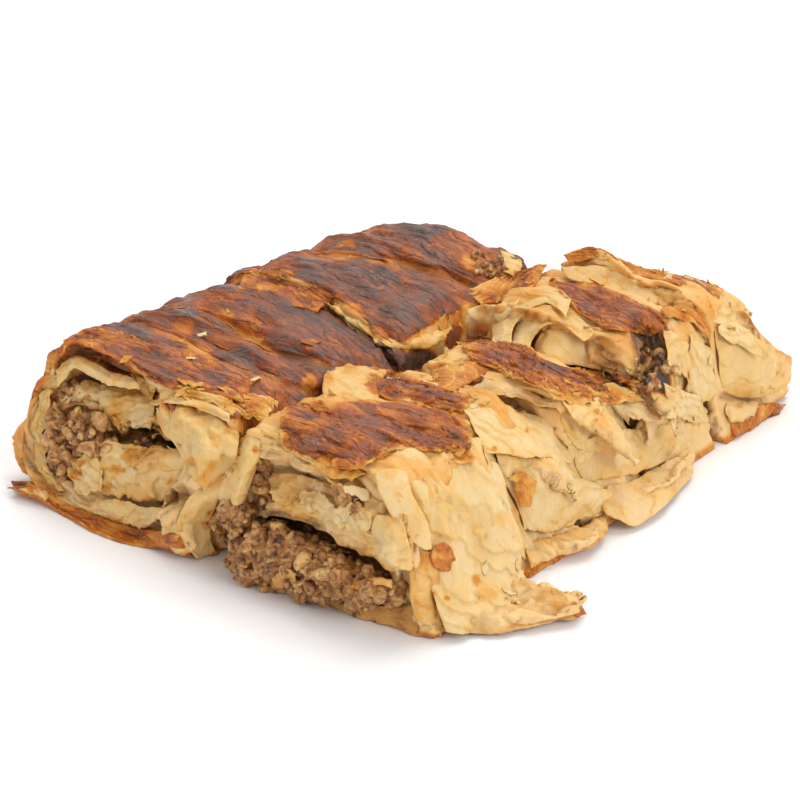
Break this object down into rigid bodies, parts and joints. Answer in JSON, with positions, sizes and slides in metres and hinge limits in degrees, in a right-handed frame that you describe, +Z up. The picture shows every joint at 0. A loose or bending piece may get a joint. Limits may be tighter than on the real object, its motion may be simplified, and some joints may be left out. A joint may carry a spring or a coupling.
{
  "type": "minced meat phyllo pie",
  "caption": "Chopped savoury phyllo pie, its cut pieces still lying as one slab, with a browned wrinkled crust, layered dough and a minced meat filling that shows at the cuts.",
  "frame": {"origin": "middle of the slab's bounding box, on the surface that the pie rests on", "axes": "+X along the cut front towards the right-hand column, +Y back along the columns, +Z up"},
  "size_m": [0.1466, 0.163, 0.042],
  "materials": {
    "pastry": "baked phyllo dough, cream inside and browned on top",
    "mince": "cooked minced meat, moist and crumbly"
  },
  "bodies": {
    "root": {"left_front_pastry": "pastry", "left_front_mince": "mince", "left_back_pastry": "pastry", "left_back_mince": "mince", "right_1_pastry": "pastry", "right_1_mince": "mince", "right_2_pastry": "pastry", "right_2_mince": "mince", "right_3_pastry": "pastry", "right_3_mince": "mince", "right_4_pastry": "pastry", "right_4_mince": "mince", "right_5_pastry": "pastry", "right_5_mince": "mince"}
  },
  "joints": []
}
